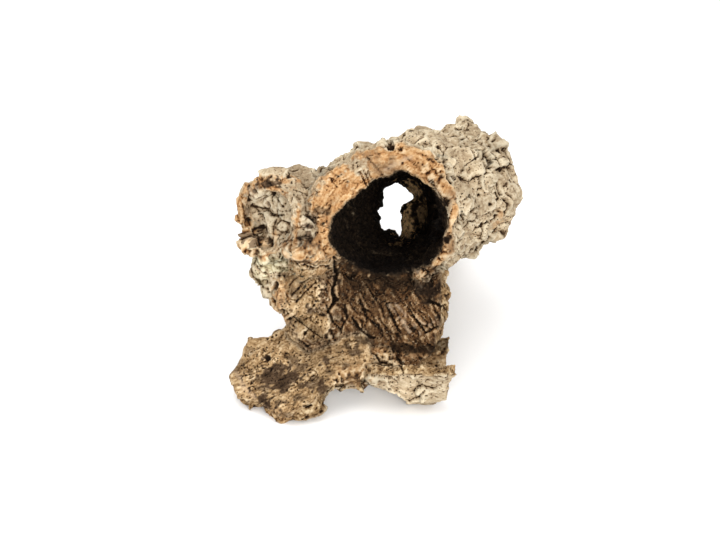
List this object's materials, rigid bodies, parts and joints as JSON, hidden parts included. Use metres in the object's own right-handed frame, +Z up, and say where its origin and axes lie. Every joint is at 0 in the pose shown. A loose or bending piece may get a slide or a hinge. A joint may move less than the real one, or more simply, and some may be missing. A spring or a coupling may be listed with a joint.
{
  "type": "cork branch",
  "caption": "Hollow forked branch of rough cork bark with a wide front mouth, two rear branches and a knot stub, standing on two bark legs and its rear end.",
  "frame": {"origin": "middle of the object's bounding box at the level of the ground that its three feet rest on", "axes": "+Z up, +X to the object's right as seen from the wide front mouth, +Y from the front mouth to the rear end"},
  "size_m": [0.3008, 0.4034, 0.2507],
  "materials": {
    "trunk": "rough cork bark: grey outer bark, orange-brown cut rim, dark brown inner bark",
    "knot_stub": "rough cork bark with a layered orange-brown lip and grey plates in its hollow",
    "right_branch": "rugged grey-beige outer cork bark with small dark pits",
    "rear_branch": "rugged grey-beige outer cork bark, dark brown inside",
    "left_leg": "inner face of cork bark, light brown with dark blotches",
    "right_leg": "beige-grey outer cork bark with an orange cut rim, dark brown inside"
  },
  "bodies": {
    "root": {"trunk": "trunk", "knot_stub": "knot_stub", "right_branch": "right_branch", "rear_branch": "rear_branch", "left_leg": "left_leg", "right_leg": "right_leg"}
  },
  "joints": []
}
